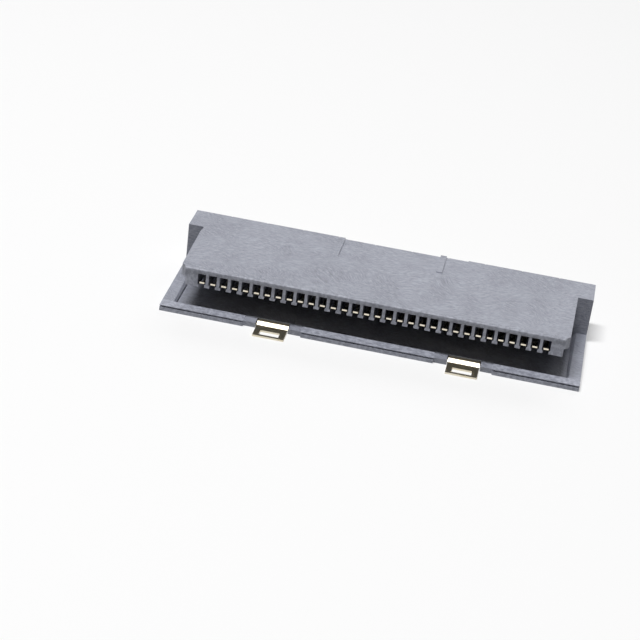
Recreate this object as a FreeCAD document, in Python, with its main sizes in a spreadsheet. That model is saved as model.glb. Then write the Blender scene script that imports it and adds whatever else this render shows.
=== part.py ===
import FreeCAD, Part
import math
import os
import re
import Sketcher

# Right-angle surface-mount card edge connector, one row of 32 contacts.
# X runs along the row, -Y faces the mouth that the card enters, +Z is away from the board.
# The origin is on the underside, in mid-row, below the front face of the back block.

doc = FreeCAD.newDocument("card_edge_connector")
sheet = doc.addObject("Spreadsheet::Sheet", "Sizes")

# Driving dimensions in millimetres: name, size, what it measures
DIMENSIONS = [
    ("contact_count", 32, "contacts in the row"),
    ("contact_pitch", 1.5, "centre to centre of two contacts"),
    ("end_margin", 2.25, "last contact's centre to the end of the comb"),
    ("flange_side", 0.8, "hood's end beyond the end of the comb, at the back block"),
    ("flange_draft", 0.18, "narrowing of the hood towards its front, each side"),
    ("ear_reach", 2.15, "ears of the back block beyond the hood"),
    ("block_depth", 4.8, "back block, front to rear"),
    ("block_height", 6.5, "back block, board to top"),
    ("hood_rise", 0.35, "hood's top above the back block"),
    ("hood_reach", 12.9, "hood's front edge to the back block"),
    ("hood_step_gap", 1.1, "foot of the step behind the hood's top, to the back block"),
    ("hood_step_run", 0.5, "run of that sloped step"),
    ("flange_depth", 1.65, "hood's top to the underside of its flange"),
    ("corner_cut", 0.62, "slanted front corners of the hood"),
    ("edge_ease", 0.25, "bevel along the hood's top front edge"),
    ("comb_setback", 0.12, "comb's face behind the hood's front edge"),
    ("comb_under", 4.0, "board to the underside of the comb"),
    ("roof_thickness", 0.88, "hood's top to the top of the slots"),
    ("brow_depth", 0.42, "hood's front edge, top to its underside"),
    ("tooth_width", 0.4, "web between two slots"),
    ("tooth_foot", 0.72, "width of a web's flared foot"),
    ("tooth_foot_height", 0.28, "height of the flared foot"),
    ("tooth_flare", 0.14, "height of the slope above the foot"),
    ("wall_drop", 1.0, "end walls below the comb's underside"),
    ("wall_start", 3.1, "comb's face to the foot of the end walls' slope"),
    ("wall_slope", 0.9, "run of that slope"),
    ("tray_reach", 13.95, "tray's front edge to the back block"),
    ("floor_height", 0.5, "top of the tray's floor"),
    ("lip_height", 0.86, "top of the bars along the tray's front"),
    ("lip_width", 1.56, "front bars, front to rear"),
    ("rail_height", 1.05, "side rails' top at the back block"),
    ("rail_width", 1.4, "flat top of a side rail"),
    ("rail_lean", 0.45, "slope on a rail's inner side"),
    ("rail_step", 0.64, "foot of that slope, above the board"),
    ("floor_groove_width", 0.12, "groove between a rail and the floor"),
    ("floor_groove_depth", 0.16, "depth of that groove"),
    ("front_groove_drop", 0.1, "bars' top to the groove along their front face"),
    ("front_groove_height", 0.2, "height of that groove"),
    ("front_groove_depth", 0.25, "depth of that groove"),
    ("notch_centre", 12.93, "mid-row to the centre of a gap between two bars"),
    ("notch_width", 7.9, "gap between two bars, where a tab stands"),
    ("notch_depth", 0.3, "front of the bars to the sill in the gap"),
    ("sill_height", 0.72, "top of the sill"),
    ("sill_width", 1.9, "sill, front to rear"),
    ("tab_recess", 1.55, "recess in the sill that a tab stands in"),
    ("tab_space", 0.12, "recess beyond each side of the tab"),
    ("boss_margin", 0.5, "boss around a tab's root, beyond each side of the tab"),
    ("boss_wall", 0.3, "wall behind the end of the root"),
    ("tab_centre", 13.0, "mid-row to the centre of a tab"),
    ("tab_width", 4.25, "hold-down tab"),
    ("tab_gauge", 0.25, "tab sheet thickness"),
    ("tab_height", 0.6, "top of a tab where it leaves the tray"),
    ("tab_root", 2.2, "tab inside the tray"),
    ("tab_shelf", 0.45, "back of the recess to a tab's first bend"),
    ("tab_drop_run", 0.65, "run of the slope between a tab's two bends"),
    ("tab_bend", 0.3, "bend radius at the middle of the tab sheet"),
    ("tab_foot", 2.8, "tab's soldering foot in front of its slope"),
    ("window_width", 2.65, "solder window in a tab's foot"),
    ("window_length", 1.15, "solder window, front to rear"),
    ("window_margin", 0.4, "solder window to the foot's front edge"),
    ("slot_clearance", 0.03, "free space on each side of a held metal piece"),
    ("rear_recess", 0.15, "slotted part of the rear face, set in"),
    ("rear_recess_height", 5.75, "top of that part"),
    ("rear_recess_margin", 0.12, "its ends, inside the comb's ends"),
    ("rear_slot_width", 1.14, "upper part of a rear slot"),
    ("rear_slot_foot_width", 0.78, "lower part of a rear slot"),
    ("rear_slot_foot_height", 1.45, "top of the lower part"),
    ("rear_slot_flare", 0.5, "height of the slope between the two"),
    ("rear_slot_depth", 0.5, "depth of a rear slot"),
    ("contact_gauge", 0.2, "contact strip thickness"),
    ("leg_width", 0.96, "contact's leg and its pressed stretch"),
    ("foot_width", 0.5, "contact's neck and solder foot"),
    ("foot_ease", 0.14, "cut corners at a solder foot's end"),
    ("arm_width", 0.66, "contact's spring arm"),
    ("arm_front", 1.6, "pressed stretch in the block, behind its front face"),
    ("contact_height", 5.65, "top of a contact in the back block"),
    ("leg_proud", 0.05, "outer face of a leg beyond the rear slots' webs"),
    ("leg_bend", 0.3, "bend radius at the middle of the contact strip"),
    ("foot_reach", 7.3, "end of a solder foot behind the block's front face"),
    ("neck_height", 1.4, "board to the top of the narrow neck"),
    ("neck_slope", 0.55, "height of the slope above the neck"),
    ("arm_knee_gap", 1.8, "start of the arm's fall in front of the block"),
    ("knee_bend", 1.5, "radius where the arm starts to fall"),
    ("bow_gap", 2.9, "contact bow behind the comb's face"),
    ("bow_drop", 0.75, "contact bow below the comb's underside"),
    ("bow_bend", 0.8, "radius of the contact bow"),
    ("tip_gap", 0.35, "contact's tip behind the comb's face"),
    ("tip_height", 0.5, "contact's tip above the comb's underside"),
    ("pocket_width", 1.9, "moulding pocket in each end of the rear face"),
    ("pocket_height", 4.4, "height of that pocket"),
    ("pocket_base", 1.1, "board to the bottom of the pocket"),
    ("pocket_depth", 3.0, "depth of the pocket"),
    ("pocket_wall", 1.05, "pocket to the end face"),
    ("vent_rear", 1.0, "rear face to the slit in the end face"),
    ("vent_length", 1.5, "slit, front to rear"),
    ("vent_height", 0.25, "height of the slit"),
    ("vent_base", 3.35, "board to the bottom of the slit"),
    ("tick_count", 10, "fine grooves down the rear top band"),
    ("tick_pitch", 5.2, "centre to centre of two of them"),
    ("tick_width", 0.14, "width of one"),
    ("tick_depth", 0.12, "depth of one"),
    ("dip_left", 6.95, "shallow dip in the block's top, left of mid-row"),
    ("dip_right", 6.65, "the same, right of mid-row"),
    ("dip_depth", 0.2, "depth of the dip"),
    ("dip_front", 0.9, "dip in front of the back block"),
    ("ridge_width", 0.85, "raised ridge at the dip's right end"),
    ("ridge_height", 0.1, "height of the ridge"),
    ("ridge_front", 0.4, "ridge in front of the back block"),
    ("side_dip_width", 3.1, "shallower dip right of the ridge"),
    ("side_dip_depth", 0.12, "depth of that dip"),
]

for row, (alias, size, meaning) in enumerate(DIMENSIONS, start=1):
    sheet.set(f"A{row}", meaning)
    sheet.set(f"B{row}", str(size))
    sheet.setAlias(f"B{row}", alias)
doc.recompute()

ALIASES = {alias for alias, size, meaning in DIMENSIONS}


def bound(text):
    """A formula with each size's name pointed at its cell in the sheet."""
    return re.sub(r"[a-z_]+", lambda word: f"Sizes.{word[0]}" if word[0] in ALIASES else word[0], text)


def value(text):
    """The formula's present size in millimetres."""
    return float(sheet.evalExpression(text))


# Places that several features share, each worked out from the sizes above
HALF_ROW = "((contact_count - 1) * contact_pitch / 2)"
COMB_END = f"({HALF_ROW} + end_margin)"
FLANGE_END = f"({COMB_END} + flange_side)"
FRONT_END = f"({FLANGE_END} - flange_draft)"
HALF_LENGTH = f"({FLANGE_END} + ear_reach)"
HOOD_TOP = "(block_height + hood_rise)"
FLANGE_UNDER = f"({HOOD_TOP} - flange_depth)"
SLOT_TOP = f"({HOOD_TOP} - roof_thickness)"
COMB_FACE = "(hood_reach - comb_setback)"
WEB_FACE = "(block_depth - rear_recess)"
LIP_REAR = "(tray_reach - lip_width)"
SILL_FACE = "(tray_reach - notch_depth)"
TAB_WALL = f"({SILL_FACE} - tab_recess)"
OVERSHOOT = 1.0


def plane_of(body, role):
    return next(item for item in body.Origin.OriginFeatures if item.Role == role)


def sketch_on(body, role, name, lift=None):
    """A sketch on one of the body's own origin planes, moved along its normal by a formula."""
    sketch = body.newObject("Sketcher::SketchObject", name)
    sketch.AttachmentSupport = [(plane_of(body, role), "")]
    sketch.MapMode = "FlatFace"
    if lift:
        sketch.setExpression("AttachmentOffset.Base.z", bound(lift))
    return sketch


def pin(sketch, kind, geometry, place, formula):
    """Ties one coordinate of a point to a formula, measured from the sketch's origin."""
    index = sketch.addConstraint(Sketcher.Constraint(kind, -1, 1, geometry, place, value(formula)))
    sketch.setExpression(f"Constraints[{index}]", bound(formula))


def outline(sketch, corners):
    """A closed outline of straight lines through corners given as pairs of formulas."""
    first = sketch.GeometryCount
    points = [FreeCAD.Vector(value(across), value(up), 0) for across, up in corners]
    for start, end in zip(points, points[1:] + points[:1]):
        sketch.addGeometry(Part.LineSegment(start, end))
    for index in range(len(corners)):
        following = (index + 1) % len(corners)
        sketch.addConstraint(Sketcher.Constraint("Coincident", first + index, 2, first + following, 1))
    for index, (across, up) in enumerate(corners):
        pin(sketch, "DistanceX", first + index, 1, across)
        pin(sketch, "DistanceY", first + index, 1, up)


def rectangle(sketch, left, right, low, high):
    outline(sketch, [(left, low), (right, low), (right, high), (left, high)])


def both_sides(sketch, inner, outer, low, high):
    """The same rectangle at each end of the row."""
    rectangle(sketch, inner, outer, low, high)
    rectangle(sketch, f"-({outer})", f"-({inner})", low, high)


def pad(body, sketch, length, reverse=False, symmetric=False):
    feature = body.newObject("PartDesign::Pad", sketch.Name + "_pad")
    feature.Profile = sketch
    feature.SideType = "Symmetric" if symmetric else "One side"
    feature.Reversed = reverse
    feature.setExpression("Length", bound(length))
    return feature


def pocket(body, sketch, length, reverse=False, symmetric=False):
    feature = body.newObject("PartDesign::Pocket", sketch.Name + "_cut")
    feature.Profile = sketch
    feature.SideType = "Symmetric" if symmetric else "One side"
    feature.Reversed = reverse
    feature.setExpression("Length", bound(length))
    return feature


def row_of(body, features, count, pitch, name):
    """Repeats features along +X."""
    doc.recompute()
    pattern = body.newObject("PartDesign::LinearPattern", name)
    pattern.Originals = features
    pattern.Direction = (plane_of(body, "X_Axis"), [""])
    pattern.setExpression("Length", bound(f"({count} - 1) * {pitch}"))
    pattern.setExpression("Occurrences", bound(count))
    body.Tip = pattern
    return pattern


def bent_path(sketch, corners, radii):
    """Straight runs through the corners, with a tangent arc of the given radius at each bend."""
    points = [FreeCAD.Vector(value(across), value(up), 0) for across, up in corners]
    setbacks = [0.0]
    for before, here, after, radius in zip(points, points[1:], points[2:], radii):
        half_turn = (here - before).getAngle(after - here) / 2
        setbacks.append(value(radius) * math.tan(half_turn))
    setbacks.append(0.0)
    runs = []
    for index in range(len(points) - 1):
        along = (points[index + 1] - points[index]).normalize()
        start = points[index] + along * setbacks[index]
        end = points[index + 1] - along * setbacks[index + 1]
        runs.append((start, end, sketch.addGeometry(Part.LineSegment(start, end))))
    for index, (before, after, radius) in enumerate(zip(runs, runs[1:], radii)):
        corner = points[index + 1]
        inwards = ((before[1] - corner).normalize() + (after[0] - corner).normalize()).normalize()
        centre = corner + inwards * math.hypot(value(radius), setbacks[index + 1])
        angles = [math.atan2(end.y - centre.y, end.x - centre.x) for end in (before[1], after[0])]
        leftwards = math.sin(angles[1] - angles[0]) > 0
        circle = Part.Circle(centre, FreeCAD.Vector(0, 0, 1), value(radius))
        span = angles if leftwards else angles[::-1]
        arc = sketch.addGeometry(Part.ArcOfCircle(circle, *span))
        ends = (1, 2) if leftwards else (2, 1)
        sketch.addConstraint(Sketcher.Constraint("Tangent", before[2], 2, arc, ends[0]))
        sketch.addConstraint(Sketcher.Constraint("Tangent", arc, ends[1], after[2], 1))
        size = sketch.addConstraint(Sketcher.Constraint("Radius", arc, value(radius)))
        sketch.setExpression(f"Constraints[{size}]", bound(radius))
        mark = sketch.addGeometry(Part.Point(corner), True)
        pin(sketch, "DistanceX", mark, 1, corners[index + 1][0])
        pin(sketch, "DistanceY", mark, 1, corners[index + 1][1])
        sketch.addConstraint(Sketcher.Constraint("PointOnObject", mark, 1, before[2]))
        sketch.addConstraint(Sketcher.Constraint("PointOnObject", mark, 1, after[2]))
    pin(sketch, "DistanceX", runs[0][2], 1, corners[0][0])
    pin(sketch, "DistanceY", runs[0][2], 1, corners[0][1])
    pin(sketch, "DistanceX", runs[-1][2], 2, corners[-1][0])
    pin(sketch, "DistanceY", runs[-1][2], 2, corners[-1][1])


def housing():
    """The one-piece moulding: tray, back block with its ears, and the hood with its comb."""
    body = doc.addObject("PartDesign::Body", "housing")
    full_width = f"2 * ({HALF_LENGTH} + {OVERSHOOT})"

    # Tray: a flat floor, side rails that fall towards the front, and the front bar
    base = sketch_on(body, "XY_Plane", "tray_base")
    rectangle(base, f"-{HALF_LENGTH}", HALF_LENGTH, "-tray_reach", "block_depth")
    pad(body, base, "floor_height")
    rails = sketch_on(body, "XZ_Plane", "rails")
    rail_top = f"({HALF_LENGTH} - rail_width)"
    rail_foot = f"({rail_top} - rail_lean)"
    outline(rails, [(rail_foot, "floor_height"), (HALF_LENGTH, "floor_height"),
                    (HALF_LENGTH, "rail_height"), (rail_top, "rail_height"), (rail_foot, "rail_step")])
    outline(rails, [(f"-{rail_foot}", "floor_height"), (f"-{rail_foot}", "rail_step"),
                    (f"-{rail_top}", "rail_height"), (f"-{HALF_LENGTH}", "rail_height"),
                    (f"-{HALF_LENGTH}", "floor_height")])
    pad(body, rails, "tray_reach")
    fall = sketch_on(body, "YZ_Plane", "rail_fall")
    outline(fall, [("0", "rail_height"), ("0", f"rail_height + {OVERSHOOT}"),
                   (f"-(tray_reach + {OVERSHOOT})", f"rail_height + {OVERSHOOT}"),
                   (f"-(tray_reach + {OVERSHOOT})", "lip_height"), ("-tray_reach", "lip_height")])
    pocket(body, fall, full_width, symmetric=True)
    lip = sketch_on(body, "XY_Plane", "lip")
    rectangle(lip, f"-{HALF_LENGTH}", HALF_LENGTH, "-tray_reach", f"-{LIP_REAR}")
    pad(body, lip, "lip_height")
    floor_grooves = sketch_on(body, "XZ_Plane", "floor_grooves", LIP_REAR)
    both_sides(floor_grooves, f"{rail_foot} - floor_groove_width", rail_foot,
               "floor_height - floor_groove_depth", f"floor_height + {OVERSHOOT}")
    pocket(body, floor_grooves, LIP_REAR)

    # Front: a fine groove under the bar's edge. Two gaps part the bar in three, each with a sill
    front_groove = sketch_on(body, "YZ_Plane", "front_groove")
    rectangle(front_groove, f"-(tray_reach + {OVERSHOOT})", "-(tray_reach - front_groove_depth)",
              "lip_height - front_groove_drop - front_groove_height", "lip_height - front_groove_drop")
    pocket(body, front_groove, full_width, symmetric=True)
    notch_left = "notch_centre - notch_width / 2"
    notch_right = "notch_centre + notch_width / 2"
    gaps = sketch_on(body, "XY_Plane", "bar_gaps", f"lip_height + {OVERSHOOT}")
    both_sides(gaps, notch_left, notch_right, f"-(tray_reach + {OVERSHOOT})", f"-({LIP_REAR} - {OVERSHOOT})")
    pocket(body, gaps, f"lip_height + {OVERSHOOT} - sill_height")
    sill_fronts = sketch_on(body, "XY_Plane", "sill_fronts", f"-{OVERSHOOT}")
    both_sides(sill_fronts, notch_left, notch_right, f"-(tray_reach + {OVERSHOOT})", f"-{SILL_FACE}")
    pocket(body, sill_fronts, f"lip_height + 2 * {OVERSHOOT}", reverse=True)
    sills = sketch_on(body, "XY_Plane", "sills")
    both_sides(sills, notch_left, notch_right, f"-{SILL_FACE}", f"sill_width - {SILL_FACE}")
    pad(body, sills, "sill_height")

    # A recess in each sill for a tab, and a boss behind it with a slot for the tab's root
    bosses = sketch_on(body, "XY_Plane", "tab_bosses")
    both_sides(bosses, "tab_centre - tab_width / 2 - boss_margin", "tab_centre + tab_width / 2 + boss_margin",
               f"-{TAB_WALL}", f"tab_root + boss_wall - {TAB_WALL}")
    pad(body, bosses, "sill_height")
    recesses = sketch_on(body, "XY_Plane", "tab_recesses", f"-{OVERSHOOT}")
    both_sides(recesses, "tab_centre - tab_width / 2 - tab_space", "tab_centre + tab_width / 2 + tab_space",
               f"-(tray_reach + {OVERSHOOT})", f"-{TAB_WALL}")
    pocket(body, recesses, f"lip_height + 2 * {OVERSHOOT}", reverse=True)
    tab_slots = sketch_on(body, "XZ_Plane", "tab_slots", TAB_WALL)
    both_sides(tab_slots, "tab_centre - tab_width / 2 - slot_clearance",
               "tab_centre + tab_width / 2 + slot_clearance",
               "tab_height - tab_gauge - slot_clearance", "tab_height + slot_clearance")
    pocket(body, tab_slots, "tab_root + slot_clearance")

    # Back block across the whole length; its ends stand out past the hood as ears
    block = sketch_on(body, "XY_Plane", "block")
    rectangle(block, f"-{HALF_LENGTH}", HALF_LENGTH, "0", "block_depth")
    pad(body, block, "block_height")

    # Hood: a roof with slanted front corners, a little narrower at its front, over the comb
    roof = sketch_on(body, "XY_Plane", "roof", FLANGE_UNDER)
    outline(roof, [(f"-{FLANGE_END}", "0"), (f"-{FRONT_END}", "corner_cut - hood_reach"),
                   (f"corner_cut - {FRONT_END}", "-hood_reach"), (f"{FRONT_END} - corner_cut", "-hood_reach"),
                   (FRONT_END, "corner_cut - hood_reach"), (FLANGE_END, "0")])
    pad(body, roof, "flange_depth")
    brow = sketch_on(body, "YZ_Plane", "brow")
    rectangle(brow, f"-(hood_reach + {OVERSHOOT})", f"-{COMB_FACE}",
              f"{FLANGE_UNDER} - {OVERSHOOT}", f"{HOOD_TOP} - brow_depth")
    pocket(body, brow, full_width, symmetric=True)
    comb = sketch_on(body, "XZ_Plane", "comb")
    rectangle(comb, f"-{COMB_END}", COMB_END, "comb_under", SLOT_TOP)
    pad(body, comb, COMB_FACE)
    wall_inner = f"({HALF_ROW} + (contact_pitch - tooth_width) / 2)"
    for name, start in (("wall_right", wall_inner), ("wall_left", f"-{COMB_END}")):
        wall = sketch_on(body, "YZ_Plane", name, start)
        outline(wall, [(f"-({COMB_FACE} - wall_start)", "comb_under"),
                       (f"-({COMB_FACE} - wall_start - wall_slope)", "comb_under - wall_drop"),
                       ("0", "comb_under - wall_drop"), ("0", "comb_under")])
        pad(body, wall, f"{COMB_END} - {wall_inner}")
    ease = sketch_on(body, "YZ_Plane", "front_ease")
    outline(ease, [("-hood_reach", f"{HOOD_TOP} - edge_ease"), ("edge_ease - hood_reach", HOOD_TOP),
                   ("edge_ease - hood_reach", f"{HOOD_TOP} + {OVERSHOOT}"),
                   (f"-(hood_reach + {OVERSHOOT})", f"{HOOD_TOP} + {OVERSHOOT}"),
                   (f"-(hood_reach + {OVERSHOOT})", f"{HOOD_TOP} - edge_ease")])
    pocket(body, ease, full_width, symmetric=True)
    step = sketch_on(body, "YZ_Plane", "hood_step")
    outline(step, [("-(hood_step_gap + hood_step_run)", HOOD_TOP), ("-hood_step_gap", "block_height"),
                   (f"{OVERSHOOT}", "block_height"), (f"{OVERSHOOT}", f"{HOOD_TOP} + {OVERSHOOT}"),
                   ("-(hood_step_gap + hood_step_run)", f"{HOOD_TOP} + {OVERSHOOT}")])
    pocket(body, step, full_width, symmetric=True)

    # Fine relief on the block's top: a shallow dip, a ridge at its end and a second dip
    dip = sketch_on(body, "XY_Plane", "dip", f"block_height + {OVERSHOOT}")
    rectangle(dip, "-dip_left", "dip_right", "-dip_front", f"block_depth + {OVERSHOOT}")
    pocket(body, dip, f"dip_depth + {OVERSHOOT}")
    side_dip = sketch_on(body, "XY_Plane", "side_dip", f"block_height + {OVERSHOOT}")
    rectangle(side_dip, "dip_right + ridge_width", "dip_right + ridge_width + side_dip_width",
              "-dip_front", f"block_depth + {OVERSHOOT}")
    pocket(body, side_dip, f"side_dip_depth + {OVERSHOOT}")
    ridge = sketch_on(body, "XY_Plane", "ridge", "block_height")
    rectangle(ridge, "dip_right", "dip_right + ridge_width", "-ridge_front", "block_depth")
    pad(body, ridge, "ridge_height")

    # Rear face: the slotted part set in, a moulding pocket and a slit at each end, fine grooves above
    behind = f"-(block_depth + {OVERSHOOT})"
    recess = sketch_on(body, "XZ_Plane", "rear_recess_area", behind)
    recess_end = f"({COMB_END} - rear_recess_margin)"
    rectangle(recess, f"-{recess_end}", recess_end, f"-{OVERSHOOT}", "rear_recess_height")
    pocket(body, recess, f"rear_recess + {OVERSHOOT}", reverse=True)
    pockets = sketch_on(body, "XZ_Plane", "end_pockets", behind)
    both_sides(pockets, f"{HALF_LENGTH} - pocket_wall - pocket_width", f"{HALF_LENGTH} - pocket_wall",
               "pocket_base", "pocket_base + pocket_height")
    pocket(body, pockets, f"pocket_depth + {OVERSHOOT}", reverse=True)
    for name, side in (("vent_right", ""), ("vent_left", "-")):
        vent = sketch_on(body, "YZ_Plane", name, f"{side}({HALF_LENGTH} + {OVERSHOOT})")
        rectangle(vent, "block_depth - vent_rear - vent_length", "block_depth - vent_rear",
                  "vent_base", "vent_base + vent_height")
        pocket(body, vent, f"pocket_wall + pocket_width / 2 + {OVERSHOOT}", reverse=(side == "-"))
    tick = sketch_on(body, "XZ_Plane", "tick", behind)
    first_tick = "(tick_count - 1) * tick_pitch / 2"
    rectangle(tick, f"-({first_tick} + tick_width / 2)", f"-({first_tick} - tick_width / 2)",
              "rear_recess_height - tick_depth", f"block_height + {OVERSHOOT}")
    tick_cut = pocket(body, tick, f"tick_depth + {OVERSHOOT}", reverse=True)
    row_of(body, [tick_cut], "tick_count", "tick_pitch", "tick_row")

    # One contact's place, repeated along the row: a comb slot, a hole through the block, a rear slot
    slot = sketch_on(body, "XZ_Plane", "comb_slot", f"hood_reach + {OVERSHOOT}")
    slot_half = "(contact_pitch - tooth_width) / 2"
    mouth_half = "(contact_pitch - tooth_foot) / 2"
    foot_top = "comb_under + tooth_foot_height"
    outline(slot, [(f"-{HALF_ROW} - {slot_half}", SLOT_TOP),
                   (f"-{HALF_ROW} - {slot_half}", f"{foot_top} + tooth_flare"),
                   (f"-{HALF_ROW} - {mouth_half}", foot_top),
                   (f"-{HALF_ROW} - {mouth_half}", f"comb_under - {OVERSHOOT}"),
                   (f"-{HALF_ROW} + {mouth_half}", f"comb_under - {OVERSHOOT}"),
                   (f"-{HALF_ROW} + {mouth_half}", foot_top),
                   (f"-{HALF_ROW} + {slot_half}", f"{foot_top} + tooth_flare"),
                   (f"-{HALF_ROW} + {slot_half}", SLOT_TOP)])
    slot_cut = pocket(body, slot, f"hood_reach + {OVERSHOOT}")
    hole = sketch_on(body, "XZ_Plane", "contact_hole", f"{OVERSHOOT}")
    hole_half = "leg_width / 2 + slot_clearance"
    rectangle(hole, f"-{HALF_ROW} - ({hole_half})", f"-{HALF_ROW} + {hole_half}",
              "contact_height - contact_gauge - slot_clearance", "contact_height + slot_clearance")
    hole_cut = pocket(body, hole, f"block_depth + {OVERSHOOT}")
    rear = sketch_on(body, "XZ_Plane", "rear_slot", behind)
    rear_flare_top = "rear_slot_foot_height + rear_slot_flare"
    outline(rear, [(f"-{HALF_ROW} - rear_slot_foot_width / 2", f"-{OVERSHOOT}"),
                   (f"-{HALF_ROW} + rear_slot_foot_width / 2", f"-{OVERSHOOT}"),
                   (f"-{HALF_ROW} + rear_slot_foot_width / 2", "rear_slot_foot_height"),
                   (f"-{HALF_ROW} + rear_slot_width / 2", rear_flare_top),
                   (f"-{HALF_ROW} + rear_slot_width / 2", "rear_recess_height"),
                   (f"-{HALF_ROW} - rear_slot_width / 2", "rear_recess_height"),
                   (f"-{HALF_ROW} - rear_slot_width / 2", rear_flare_top),
                   (f"-{HALF_ROW} - rear_slot_foot_width / 2", "rear_slot_foot_height")])
    rear_cut = pocket(body, rear, f"rear_recess + rear_slot_depth + {OVERSHOOT}", reverse=True)
    row_of(body, [slot_cut, hole_cut, rear_cut], "contact_count", "contact_pitch", "contact_row")
    return body


def contact(index):
    """One formed strip contact, swept from its solder foot to its tip and trimmed at the sides."""
    body = doc.addObject("PartDesign::Body", f"contact_{index + 1:02d}")
    path = sketch_on(body, "YZ_Plane", "strip_path")
    leg = f"({WEB_FACE} + leg_proud - contact_gauge / 2)"
    level = "(contact_height - contact_gauge / 2)"
    bent_path(path,
              [("foot_reach", "contact_gauge / 2"), (leg, "contact_gauge / 2"), (leg, level),
               ("-arm_knee_gap", level),
               (f"bow_gap - {COMB_FACE}", "comb_under - bow_drop + contact_gauge / 2"),
               (f"tip_gap - {COMB_FACE}", "comb_under + tip_height")],
              ["leg_bend", "leg_bend", "knee_bend", "bow_bend"])
    section = sketch_on(body, "XZ_Plane", "strip_section", "-foot_reach")
    rectangle(section, "-leg_width / 2", "leg_width / 2", "0", "contact_gauge")
    strip = body.newObject("PartDesign::AdditivePipe", "strip")
    strip.Profile = section
    strip.Spine = (path, [])

    # Seen from above: the arm is slimmer than the pressed stretch, and the foot's corners are cut
    plan = sketch_on(body, "XY_Plane", "arm_sides", f"contact_height + {OVERSHOOT}")
    both_sides(plan, "arm_width / 2", f"leg_width / 2 + {OVERSHOOT}",
               f"-(hood_reach + {OVERSHOOT})", "arm_front")
    for side in ("", "-"):
        outline(plan, [(f"{side}(foot_width / 2 - foot_ease)", "foot_reach"),
                       (f"{side}(foot_width / 2)", "foot_reach - foot_ease"),
                       (f"{side}(foot_width / 2 + {OVERSHOOT})", "foot_reach - foot_ease"),
                       (f"{side}(foot_width / 2 + {OVERSHOOT})", f"foot_reach + {OVERSHOOT}"),
                       (f"{side}(foot_width / 2 - foot_ease)", f"foot_reach + {OVERSHOOT}")])
    pocket(body, plan, f"contact_height + 2 * {OVERSHOOT}")

    # Seen from behind: the leg narrows to a neck that carries on as the solder foot
    rear = sketch_on(body, "XZ_Plane", "neck_sides", f"-(foot_reach + {OVERSHOOT})")
    for side in ("", "-"):
        outline(rear, [(f"{side}(foot_width / 2)", f"-{OVERSHOOT}"),
                       (f"{side}(leg_width / 2 + {OVERSHOOT})", f"-{OVERSHOOT}"),
                       (f"{side}(leg_width / 2 + {OVERSHOOT})", "neck_height + neck_slope"),
                       (f"{side}(leg_width / 2)", "neck_height + neck_slope"),
                       (f"{side}(foot_width / 2)", "neck_height")])
    pocket(body, rear, f"foot_reach + {OVERSHOOT}", reverse=True)
    place = f"{index} * contact_pitch - {HALF_ROW}"
    body.setExpression("Placement.Base.x", bound(place))
    return body


def tab(name, side):
    """One hold-down tab: a root in the tray, a slope down to the board and a foot with a solder window."""
    body = doc.addObject("PartDesign::Body", name)
    path = sketch_on(body, "YZ_Plane", "tab_path")
    level = "(tab_height - tab_gauge / 2)"
    first_bend = f"({TAB_WALL} + tab_shelf)"
    second_bend = f"({first_bend} + tab_drop_run)"
    foot_end = f"({second_bend} + tab_foot)"
    bent_path(path,
              [(f"tab_root - {TAB_WALL}", level), (f"-{first_bend}", level),
               (f"-{second_bend}", "tab_gauge / 2"), (f"-{foot_end}", "tab_gauge / 2")],
              ["tab_bend", "tab_bend"])
    section = sketch_on(body, "XZ_Plane", "tab_section", f"{TAB_WALL} - tab_root")
    rectangle(section, "-tab_width / 2", "tab_width / 2", "tab_height - tab_gauge", "tab_height")
    sheet_metal = body.newObject("PartDesign::AdditivePipe", "tab_sheet")
    sheet_metal.Profile = section
    sheet_metal.Spine = (path, [])
    window = sketch_on(body, "XY_Plane", "solder_window", f"tab_gauge + {OVERSHOOT}")
    rectangle(window, "-window_width / 2", "window_width / 2", f"-({foot_end} - window_margin)",
              f"-({foot_end} - window_margin - window_length)")
    pocket(body, window, f"tab_gauge + 2 * {OVERSHOOT}")
    body.setExpression("Placement.Base.x", bound(f"{side} * tab_centre"))
    return body


bodies = [housing()]
for position in range(int(value("contact_count"))):
    bodies.append(contact(position))
bodies.append(tab("tab_left", -1))
bodies.append(tab("tab_right", 1))
doc.recompute()

for item in doc.Objects:
    if "Invalid" in item.State or "Error" in item.State:
        raise RuntimeError(f"{item.Name} is {item.State}")
for body in bodies:
    if body.Shape.isNull() or not body.Shape.isValid() or len(body.Shape.Solids) != 1:
        raise RuntimeError(f"{body.Label} has no single valid solid")

os.makedirs("parts", exist_ok=True)
for body in bodies:
    body.Shape.exportStep(f"parts/{body.Label}.step")
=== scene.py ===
import math
import bmesh
import bpy
from mathutils import Matrix, Vector


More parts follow.
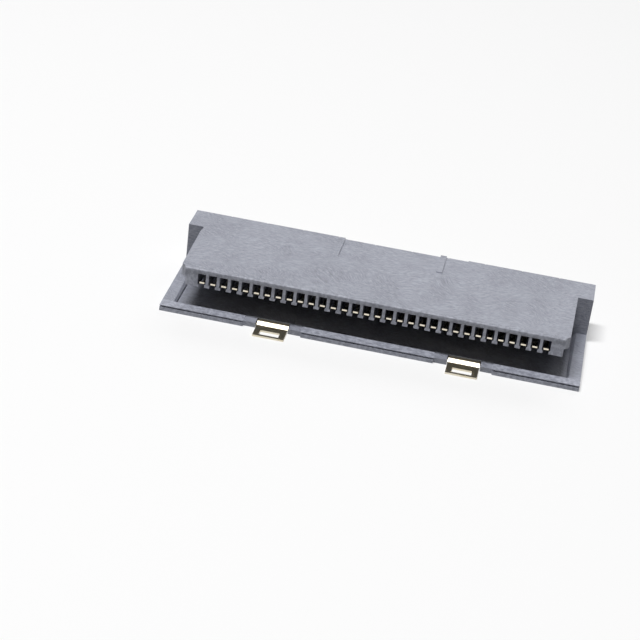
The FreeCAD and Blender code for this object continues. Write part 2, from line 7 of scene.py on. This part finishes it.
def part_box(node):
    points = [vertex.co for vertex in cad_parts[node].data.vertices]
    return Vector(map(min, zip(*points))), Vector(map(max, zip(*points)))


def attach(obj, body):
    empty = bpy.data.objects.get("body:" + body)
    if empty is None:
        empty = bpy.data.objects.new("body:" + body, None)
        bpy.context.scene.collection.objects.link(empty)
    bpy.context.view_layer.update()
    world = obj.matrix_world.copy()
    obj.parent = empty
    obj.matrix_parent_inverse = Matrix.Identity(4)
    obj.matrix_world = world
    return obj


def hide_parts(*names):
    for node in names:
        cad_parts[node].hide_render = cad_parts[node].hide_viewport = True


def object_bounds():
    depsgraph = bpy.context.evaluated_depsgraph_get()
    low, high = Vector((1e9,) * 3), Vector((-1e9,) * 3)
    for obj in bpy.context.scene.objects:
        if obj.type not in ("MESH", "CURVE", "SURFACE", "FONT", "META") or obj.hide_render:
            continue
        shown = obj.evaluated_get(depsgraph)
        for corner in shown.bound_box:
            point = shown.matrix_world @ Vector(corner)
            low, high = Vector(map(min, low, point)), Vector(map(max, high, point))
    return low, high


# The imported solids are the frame, in metres: X along the row of contacts, -Y out of the mouth,
# Z up from the board. The boxes of the part, the housing and a contact are read from them.
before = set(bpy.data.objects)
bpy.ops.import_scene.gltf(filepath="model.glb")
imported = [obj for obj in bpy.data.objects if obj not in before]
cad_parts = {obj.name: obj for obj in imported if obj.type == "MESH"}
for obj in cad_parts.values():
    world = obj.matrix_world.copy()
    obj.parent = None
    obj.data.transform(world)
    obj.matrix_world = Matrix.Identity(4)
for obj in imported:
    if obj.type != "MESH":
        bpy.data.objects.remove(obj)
cad_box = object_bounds()
MM = 0.001


# The camera stands in front and a little to the right of the mouth, about 29 degrees above the
# board, with a long lens. The connector leans in the picture, so the camera is rolled instead.
camera_data = bpy.data.cameras.new("product_camera")
camera_data.lens = 101.287
camera_data.sensor_width = 36.0
camera_data.clip_start = 10 * MM
camera = bpy.data.objects.new("product_camera", camera_data)
camera.location = Vector((20.435, -220.669, 118.408)) * MM
camera.rotation_euler = [math.radians(angle) for angle in (60.8735, -6.4248, 11.0236)]
bpy.context.collection.objects.link(camera)
bpy.context.scene.camera = camera
bpy.context.scene.view_settings.view_transform = "Standard"


# The housing is one moulding in a glass-filled liquid-crystal polymer, dyed slate grey. The stiff
# melt leaves fine curved flow streaks in its skin, and the glass fibres give it a satin shine.
# Its edges are rounded by no more than a hair's breadth.
housing_slate = "#838692"
housing_streak = "#A6A9B5"
housing_pit = "#5C5F6B"
housing_cloud_light = "#8F929E"
housing_cloud_dark = "#757884"
# Painted light: the paler colour laid on the front bars and the comb's face
housing_painted_light = "#A6A9B5"
satin_roughness = (0.35, 0.55)
polymer_ior = 1.6
# The real streaks are finer than this and the fibres 0.01 mm thick, too fine to show, so both
# are drawn as coarse as they need to be to show. The turns are in degrees
streak_length = 0.45 * MM
streak_width = 0.1 * MM
streak_turns = (-8, 42)
streak_levels = (0.3, 0.7)
streak_relief = 0.04 * MM
wander_size = 4.545 * MM
wander_reach = Vector((3.5, 6.5, 3.5)) * MM
patch_size = 2.273 * MM
patch_levels = (0.42, 0.58)
grain_size = 0.09 * MM
grain_levels = (0.4, 0.6)
grain_share = 0.6
grain_relief = 0.06 * MM
noise_middle = (0.5, 0.5, 0.5)
painted_light_grain_size = 0.25 * MM
painted_light_levels = (0.38, 0.62)
# The bars along the front, the two gaps in them where the tabs sit, and the comb's face, where light
# is painted on as a paler colour
bar_depth = 1.56 * MM
bar_top = 0.86 * MM
bar_gap_centre = 12.93 * MM
bar_gap_width = 7.9 * MM
bar_fade = 0.2 * MM
comb_ahead_of_contacts = 0.3 * MM
comb_fade = 0.15 * MM
comb_fade_bottom = 3.0 * MM
comb_fade_top = 4.0 * MM
edge_radius = 0.05 * MM
edge_angle = math.radians(30)
flat_angle = math.radians(1)
weld_distance = 0.001 * MM


def linear(hex_colour):
    """The linear colour of an sRGB hex value."""
    parts = [int(hex_colour[i:i + 2], 16) / 255 for i in (1, 3, 5)]
    lit = [part / 12.92 if part <= 0.04045 else ((part + 0.055) / 1.055) ** 2.4 for part in parts]
    return lit + [1.0]


def add_node(tree, kind, settings=(), links=(), **values):
    """Adds a node. settings are its own properties, values its inputs, links (input, socket) pairs."""
    node = tree.nodes.new(kind)
    for name, setting in dict(settings).items():
        setattr(node, name, setting)
    for name, value in values.items():
        node.inputs[name.replace("_", " ")].default_value = value
    for name, socket in links:
        tree.links.new(socket, node.inputs[name])
    return node


def new_material(name):
    """An empty node material and its tree."""
    material = bpy.data.materials.new(name)
    material.use_nodes = True
    material.node_tree.nodes.clear()
    return material, material.node_tree


def millimetres(tree):
    """Object coordinates in millimetres."""
    place = add_node(tree, "ShaderNodeTexCoord")
    scaled = add_node(tree, "ShaderNodeVectorMath", {"operation": "SCALE"},
                      [(0, place.outputs["Object"])], Scale=1 / MM)
    return scaled.outputs["Vector"]


def noise_scale(spot_size):
    """The scale, on millimetres, of a noise with light and dark spots of this size."""
    return 0.5 * MM / spot_size


def dress(piece, material):
    """Gives every material slot of a piece the one material."""
    for slot in piece.material_slots:
        slot.material = material


housing_polymer, tree = new_material("housing_glass_filled_polymer")
place = millimetres(tree)
# The melt's way through the mould: a slow wander, to both sides alike, that bends the streaks
wander = add_node(tree, "ShaderNodeTexNoise", (), [("Vector", place)],
                  Scale=noise_scale(wander_size), Detail=1.0, Roughness=0.4)
centred = add_node(tree, "ShaderNodeVectorMath", {"operation": "SUBTRACT"},
                   [(0, wander.outputs["Color"])])
centred.inputs[1].default_value = noise_middle
bend = add_node(tree, "ShaderNodeVectorMath", {"operation": "MULTIPLY_ADD"},
                [(0, centred.outputs["Vector"]), (2, place)])
bend.inputs[1].default_value = wander_reach / MM
# Two sets of streaks, nearly along the row and across it at a slant, each where the other fades
streak_sets = []
for turn in streak_turns:
    along = add_node(tree, "ShaderNodeMapping", (), [("Vector", bend.outputs["Vector"])],
                     Rotation=(0, 0, math.radians(turn)))
    thin = add_node(tree, "ShaderNodeVectorMath", {"operation": "MULTIPLY"},
                    [(0, along.outputs["Vector"])])
    cells = [noise_scale(size) for size in (streak_length, streak_width, streak_width)]
    thin.inputs[1].default_value = cells
    streak_sets.append(add_node(tree, "ShaderNodeTexNoise", (), [("Vector", thin.outputs["Vector"])],
                                Scale=1.0, Detail=3.0, Roughness=0.65))
patches = add_node(tree, "ShaderNodeTexNoise", (), [("Vector", place)],
                   Scale=noise_scale(patch_size), Detail=2.0, Roughness=0.5)
slanted = add_node(tree, "ShaderNodeMapRange", {"interpolation_type": "SMOOTHSTEP"},
                   [("Value", patches.outputs["Fac"])],
                   From_Min=patch_levels[0], From_Max=patch_levels[1])
streaks = add_node(tree, "ShaderNodeMix", {"data_type": "FLOAT"},
                   [("Factor", slanted.outputs["Result"]), ("A", streak_sets[0].outputs["Fac"]),
                    ("B", streak_sets[1].outputs["Fac"])])
tone = add_node(tree, "ShaderNodeValToRGB", (), [("Fac", streaks.outputs["Result"])])
for element, level, colour in zip(tone.color_ramp.elements, streak_levels,
                                  (housing_pit, housing_streak)):
    element.position = level
    element.color = linear(colour)
# The skin is a shade lighter where the streaks lie along the row, and darker where they slant
clouds = add_node(tree, "ShaderNodeMix", {"data_type": "RGBA"},
                  [("Factor", slanted.outputs["Result"])])
clouds.inputs["A"].default_value = linear(housing_cloud_light)
clouds.inputs["B"].default_value = linear(housing_cloud_dark)
grain = add_node(tree, "ShaderNodeTexNoise", (), [("Vector", place)],
                 Scale=noise_scale(grain_size), Detail=3.0, Roughness=0.7)
fleck = add_node(tree, "ShaderNodeMapRange", (), [("Value", grain.outputs["Fac"])],
                 From_Min=grain_levels[0], From_Max=grain_levels[1], To_Min=0.0, To_Max=grain_share)
speckle = add_node(tree, "ShaderNodeMix", {"data_type": "RGBA"},
                   [("Factor", fleck.outputs["Result"]), ("A", tone.outputs["Color"]),
                    ("B", clouds.outputs["Result"])])
# Painted light: the front bars and the comb's face are painted paler, with a coarser grain, for the
# light they catch
bar_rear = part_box("housing")[0][1] + bar_depth
where = add_node(tree, "ShaderNodeSeparateXYZ", (), [("Vector", place)])
in_front = add_node(tree, "ShaderNodeMapRange", (), [("Value", where.outputs["Y"])],
                    From_Min=(bar_rear + bar_fade) / MM, From_Max=(bar_rear - bar_fade) / MM)
low_down = add_node(tree, "ShaderNodeMapRange", (), [("Value", where.outputs["Z"])],
                    From_Min=(bar_top + 2 * bar_fade) / MM, From_Max=(bar_top + bar_fade) / MM)
either_side = add_node(tree, "ShaderNodeMath", {"operation": "ABSOLUTE"}, [(0, where.outputs["X"])])
from_gap = add_node(tree, "ShaderNodeMath", {"operation": "SUBTRACT"}, [(0, either_side.outputs[0])])
from_gap.inputs[1].default_value = bar_gap_centre / MM
beside_gap = add_node(tree, "ShaderNodeMath", {"operation": "ABSOLUTE"}, [(0, from_gap.outputs[0])])
outside_gap = add_node(tree, "ShaderNodeMapRange", (), [("Value", beside_gap.outputs[0])],
                       From_Min=(bar_gap_width / 2 - bar_fade) / MM, From_Max=bar_gap_width / 2 / MM)
on_front = add_node(tree, "ShaderNodeMath", {"operation": "MULTIPLY"},
                    [(0, in_front.outputs["Result"]), (1, low_down.outputs["Result"])])
on_bar = add_node(tree, "ShaderNodeMath", {"operation": "MULTIPLY"},
                  [(0, on_front.outputs[0]), (1, outside_gap.outputs["Result"])])
comb_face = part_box("contact_01")[0][1] - comb_ahead_of_contacts
at_face = add_node(tree, "ShaderNodeMapRange", (), [("Value", where.outputs["Y"])],
                   From_Min=(comb_face + comb_fade) / MM, From_Max=comb_face / MM)
high_up = add_node(tree, "ShaderNodeMapRange", (), [("Value", where.outputs["Z"])],
                   From_Min=comb_fade_bottom / MM, From_Max=comb_fade_top / MM)
on_comb = add_node(tree, "ShaderNodeMath", {"operation": "MULTIPLY"},
                   [(0, at_face.outputs["Result"]), (1, high_up.outputs["Result"])])
painted_light_share = add_node(tree, "ShaderNodeMath", {"operation": "MAXIMUM"},
                      [(0, on_bar.outputs[0]), (1, on_comb.outputs[0])])
painted_light_grain = add_node(tree, "ShaderNodeTexNoise", (), [("Vector", place)],
                      Scale=noise_scale(painted_light_grain_size), Detail=2.0, Roughness=0.6)
painted_light_tone = add_node(tree, "ShaderNodeValToRGB", (), [("Fac", painted_light_grain.outputs["Fac"])])
for element, level, colour in zip(painted_light_tone.color_ramp.elements, painted_light_levels,
                                  (housing_slate, housing_painted_light)):
    element.position = level
    element.color = linear(colour)
coloured = add_node(tree, "ShaderNodeMix", {"data_type": "RGBA"},
                    [("Factor", painted_light_share.outputs[0]), ("A", speckle.outputs["Result"]),
                     ("B", painted_light_tone.outputs["Color"])])
satin = add_node(tree, "ShaderNodeMapRange", (), [("Value", streaks.outputs["Result"])],
                 From_Min=streak_levels[0], From_Max=streak_levels[1],
                 To_Min=satin_roughness[0], To_Max=satin_roughness[1])
relief = add_node(tree, "ShaderNodeBump", (), [("Height", streaks.outputs["Result"])],
                  Strength=0.6, Distance=streak_relief)
fine_relief = add_node(tree, "ShaderNodeBump", (),
                       [("Height", grain.outputs["Fac"]), ("Normal", relief.outputs["Normal"])],
                       Strength=1.0, Distance=grain_relief)
skin = add_node(tree, "ShaderNodeBsdfPrincipled", (),
                [("Base Color", coloured.outputs["Result"]), ("Roughness", satin.outputs["Result"]),
                 ("Normal", fine_relief.outputs["Normal"])], IOR=polymer_ior)
add_node(tree, "ShaderNodeOutputMaterial", (), [("Surface", skin.outputs["BSDF"])])

housing = bpy.data.objects.new("housing_moulding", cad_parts["housing"].data.copy())
bpy.context.collection.objects.link(housing)
merged = bmesh.new()
merged.from_mesh(housing.data)
bmesh.ops.remove_doubles(merged, verts=merged.verts, dist=weld_distance)
bmesh.ops.dissolve_limit(merged, angle_limit=flat_angle, verts=merged.verts, edges=merged.edges)
merged.to_mesh(housing.data)
merged.free()
rounding = housing.modifiers.new("moulded_edges", "BEVEL")
rounding.width = edge_radius
rounding.segments = 2
rounding.limit_method = "ANGLE"
rounding.angle_limit = edge_angle
rounding.harden_normals = True
dress(housing, housing_polymer)
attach(housing, "root")
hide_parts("housing")


# The contacts are stamped and bent from thin phosphor bronze, plated with tin over nickel. The
# bright plate is thinner, and so warmer and duller, in fine rolling marks along each contact.
contact_plate = "#F3EFE4"
contact_warm = "#DCCFB0"
contact_roughness = (0.22, 0.38)
# The real marks are a few hundredths of a millimetre wide at most, and drawn a little wider
mark_width = 0.05556 * MM
mark_length = 0.625 * MM
mark_levels = (0.3, 0.7)

contact_plating, tree = new_material("contact_tin_plated_bronze")
place = millimetres(tree)
drawn = add_node(tree, "ShaderNodeMapping", (), [("Vector", place)],
                 Scale=[noise_scale(size) for size in (mark_width, mark_length, mark_length)])
marks = add_node(tree, "ShaderNodeTexNoise", (), [("Vector", drawn.outputs["Vector"])],
                 Scale=1.0, Detail=3.0, Roughness=0.6)
tint = add_node(tree, "ShaderNodeMix", {"data_type": "RGBA"}, [("Factor", marks.outputs["Fac"])])
tint.inputs["A"].default_value = linear(contact_plate)
tint.inputs["B"].default_value = linear(contact_warm)
polish = add_node(tree, "ShaderNodeMapRange", (), [("Value", marks.outputs["Fac"])],
                  From_Min=mark_levels[0], From_Max=mark_levels[1],
                  To_Min=contact_roughness[0], To_Max=contact_roughness[1])
plate = add_node(tree, "ShaderNodeBsdfPrincipled", (),
                 [("Base Color", tint.outputs["Result"]), ("Roughness", polish.outputs["Result"])],
                 Metallic=1.0)
add_node(tree, "ShaderNodeOutputMaterial", (), [("Surface", plate.outputs["BSDF"])])
for name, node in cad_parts.items():
    if name.startswith("contact_"):
        dress(node, contact_plating)


# The two hold-down tabs are stamped brass sheet with a bright, slightly uneven tin plate, bent
# down to the board in front of the tray, with a window that the solder fills.
tab_plate = "#E2DDD0"
tab_shade = "#C9BEA2"
tab_roughness = 0.3
wave_size = 0.8333 * MM
wave_height = 0.02 * MM

tab_plating, tree = new_material("tab_bright_tin_plate")
place = millimetres(tree)
waves = add_node(tree, "ShaderNodeTexNoise", (), [("Vector", place)],
                 Scale=noise_scale(wave_size), Detail=1.0, Roughness=0.5)
tint = add_node(tree, "ShaderNodeMix", {"data_type": "RGBA"}, [("Factor", waves.outputs["Fac"])])
tint.inputs["A"].default_value = linear(tab_plate)
tint.inputs["B"].default_value = linear(tab_shade)
uneven = add_node(tree, "ShaderNodeBump", (), [("Height", waves.outputs["Fac"])],
                  Strength=0.2, Distance=wave_height)
plate = add_node(tree, "ShaderNodeBsdfPrincipled", (),
                 [("Base Color", tint.outputs["Result"]), ("Normal", uneven.outputs["Normal"])],
                 Metallic=1.0, Roughness=tab_roughness)
add_node(tree, "ShaderNodeOutputMaterial", (), [("Surface", plate.outputs["BSDF"])])
for name in ("tab_left", "tab_right"):
    dress(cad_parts[name], tab_plating)


# The table and the light: a plain white table with no edge in sight, a long soft lamp overhead,
# a little to the front and left, and a weak one behind. The table and the room show white to the
# camera and in reflections, and light the object less than that.
table_white = "#D6D6D6"
table_glow = 0.24
table_drop = 0.02 * MM
table_half = 1500 * MM
room_white = 0.97
room_light = 0.02


def seen(tree):
    """1 for a ray from the camera or a reflection, and 0 for one that lights the object."""
    light_path = add_node(tree, "ShaderNodeLightPath")
    either = add_node(tree, "ShaderNodeMath", {"operation": "MAXIMUM"},
                      [(0, light_path.outputs["Is Camera Ray"]),
                       (1, light_path.outputs["Is Glossy Ray"])])
    return either.outputs[0]


table_finish, tree = new_material("table_white")
glow = add_node(tree, "ShaderNodeEmission", (), [("Strength", seen(tree))],
                Color=[table_glow] * 3 + [1.0])
matt = add_node(tree, "ShaderNodeBsdfDiffuse", Color=linear(table_white))
both = add_node(tree, "ShaderNodeAddShader", (),
                [(0, matt.outputs["BSDF"]), (1, glow.outputs["Emission"])])
add_node(tree, "ShaderNodeOutputMaterial", (), [("Surface", both.outputs["Shader"])])
table = bpy.data.meshes.new("table")
table.from_pydata([(x * table_half, y * table_half, cad_box[0][2] - table_drop)
                   for x, y in ((-1, -1), (1, -1), (1, 1), (-1, 1))], [], [(0, 1, 2, 3)])
table.materials.append(table_finish)
table_top = bpy.data.objects.new("table", table)
bpy.context.collection.objects.link(table_top)

world = bpy.data.worlds.new("studio")
world.use_nodes = True
bpy.context.scene.world = world
tree = world.node_tree
tree.nodes.clear()
level = add_node(tree, "ShaderNodeMapRange", (), [("Value", seen(tree))],
                 To_Min=room_light, To_Max=room_white)
room = add_node(tree, "ShaderNodeBackground", (), [("Strength", level.outputs["Result"])],
                Color=(1.0, 1.0, 1.0, 1.0))
add_node(tree, "ShaderNodeOutputWorld", (), [("Surface", room.outputs["Background"])])


def soft_lamp(name, direction, distance, width, depth, watts):
    """A softbox that faces the object from the given direction, its width along the row."""
    lamp_data = bpy.data.lights.new(name, "AREA")
    lamp_data.shape = "RECTANGLE"
    lamp_data.size = width
    lamp_data.size_y = depth
    lamp_data.energy = watts
    lamp = bpy.data.objects.new(name, lamp_data)
    lamp.location = Vector(direction).normalized() * distance
    back = lamp.location.normalized()
    along_row = Vector((1, 0, 0))
    upright = back.cross(along_row).normalized()
    lamp.rotation_euler = Matrix((upright.cross(back), upright, back)).transposed().to_euler()
    bpy.context.collection.objects.link(lamp)


soft_lamp("lamp_overhead", direction=(-0.14, -0.135, 0.97), distance=1.0,
          width=0.5, depth=0.12, watts=10.3)
soft_lamp("lamp_behind", direction=(0.1, 0.8, 0.6), distance=1.0,
          width=0.8, depth=0.4, watts=1.6)
